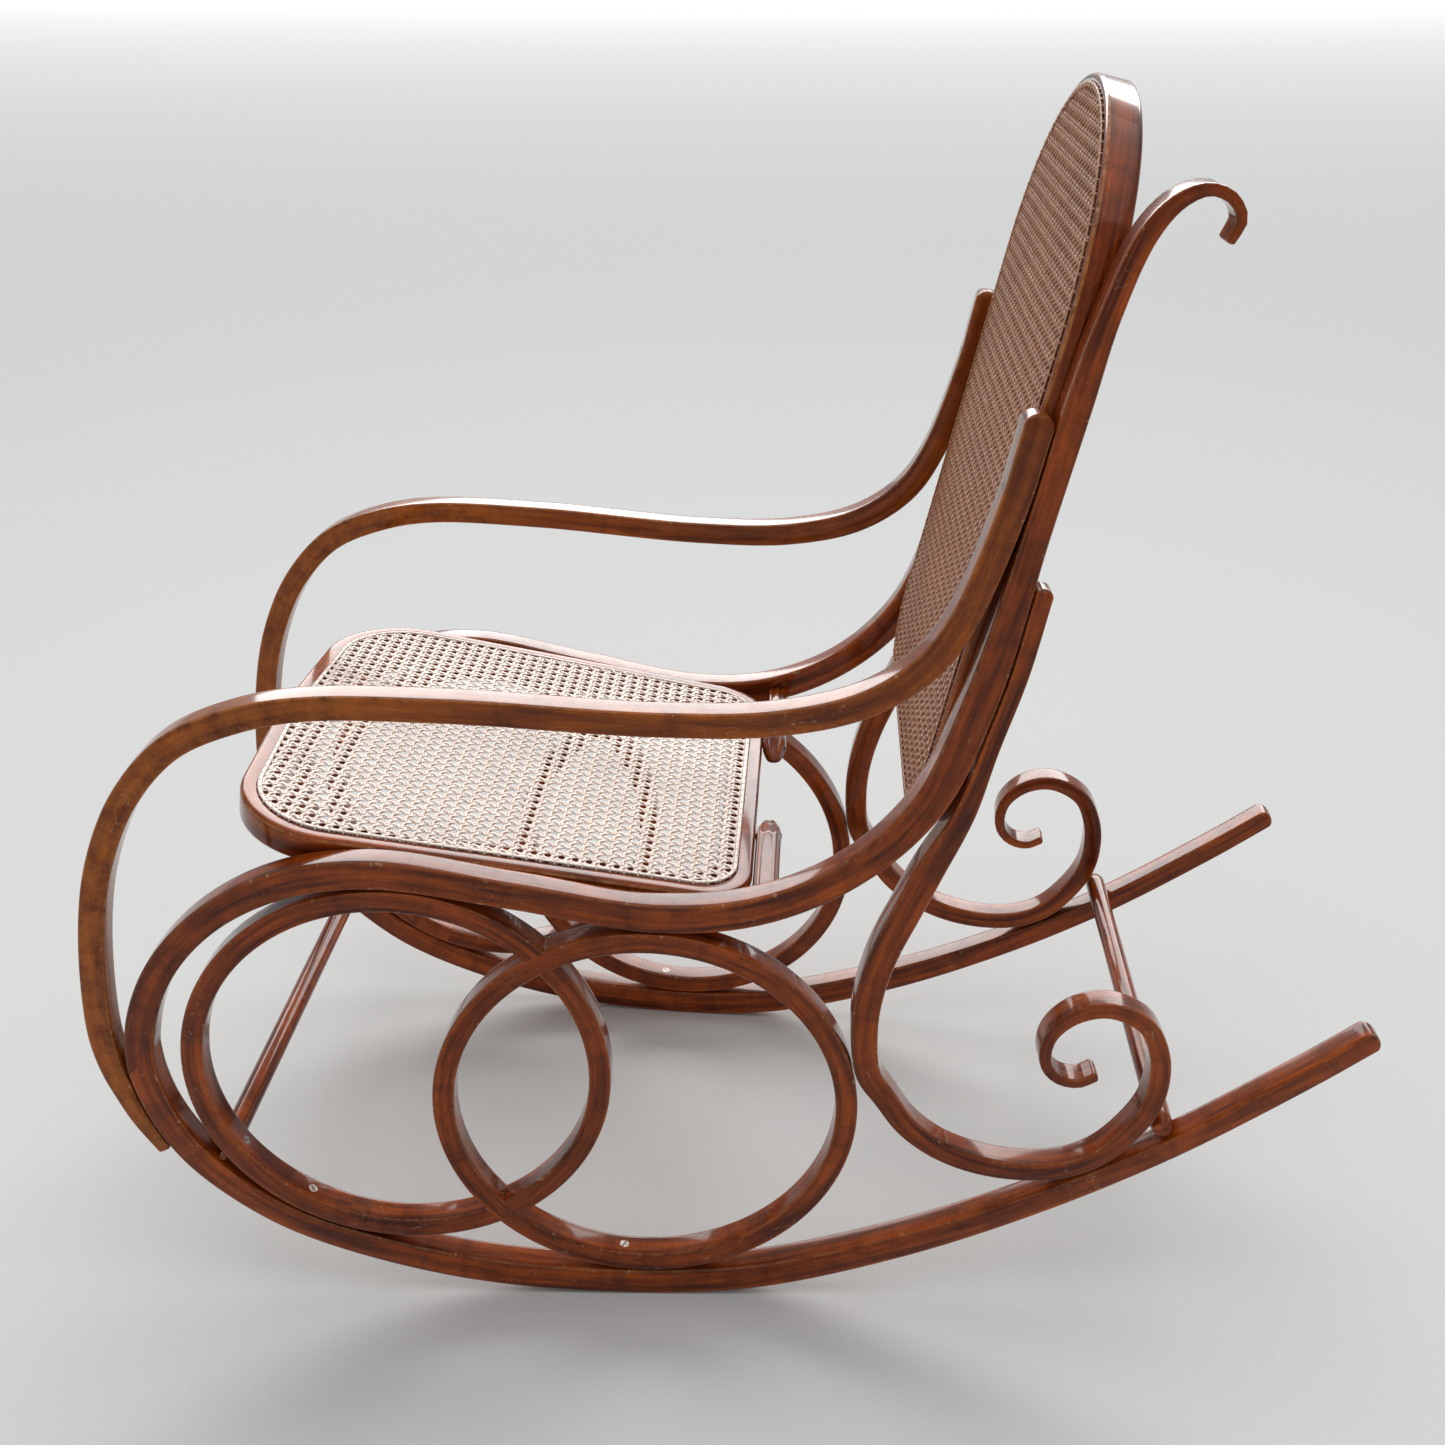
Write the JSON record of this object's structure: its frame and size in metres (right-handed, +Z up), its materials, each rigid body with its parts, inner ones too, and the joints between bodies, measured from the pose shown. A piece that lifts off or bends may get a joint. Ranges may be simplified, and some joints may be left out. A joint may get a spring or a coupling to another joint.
{
  "type": "rocking chair",
  "caption": "Bentwood rocking chair: looped side frames with crossing hoops and scrolls, bowed arms, and a hand-caned seat and arched back.",
  "frame": {"origin": "on the floor under the middle of the whole chair's bounding box, with the chair at its level resting pose", "axes": "+Z up, -Y the way the sitter faces, +X to the sitter's left"},
  "size_m": [0.5382, 1.1986, 1.1312],
  "materials": {
    "bent_wood": "satin",
    "arm_wood": "satin",
    "panel_wood": "satin",
    "seat_cane": "satin",
    "back_cane": "satin",
    "screws": "satin"
  },
  "bodies": {
    "root": {"left_rocker": "bent_wood", "left_rail_and_post": "bent_wood", "left_arm": "arm_wood", "left_scroll_brace": "bent_wood", "left_front_ring": "bent_wood", "left_rear_ring": "bent_wood", "left_seat_bracket": "bent_wood", "left_arm_foot_screw_upper": "screws", "left_arm_foot_screw_lower": "screws", "left_front_ring_stretcher_screw": "screws", "left_front_ring_rocker_screw": "screws", "left_front_ring_rail_screw": "screws", "left_rear_ring_rocker_screw": "screws", "left_rear_ring_rail_screw": "screws", "left_arm_end_screw": "screws", "left_brace_top_screw": "screws", "right_rocker": "bent_wood", "right_rail_and_post": "bent_wood", "right_arm": "arm_wood", "right_scroll_brace": "bent_wood", "right_front_ring": "bent_wood", "right_rear_ring": "bent_wood", "right_seat_bracket": "bent_wood", "right_arm_foot_screw_upper": "screws", "right_arm_foot_screw_lower": "screws", "right_front_ring_stretcher_screw": "screws", "right_front_ring_rocker_screw": "screws", "right_front_ring_rail_screw": "screws", "right_rear_ring_rocker_screw": "screws", "right_rear_ring_rail_screw": "screws", "right_arm_end_screw": "screws", "right_brace_top_screw": "screws", "seat_frame": "panel_wood", "back_frame": "panel_wood", "front_stretcher": "bent_wood", "rear_stretcher": "bent_wood", "seat_cane": "seat_cane", "back_cane": "back_cane"}
  },
  "joints": []
}
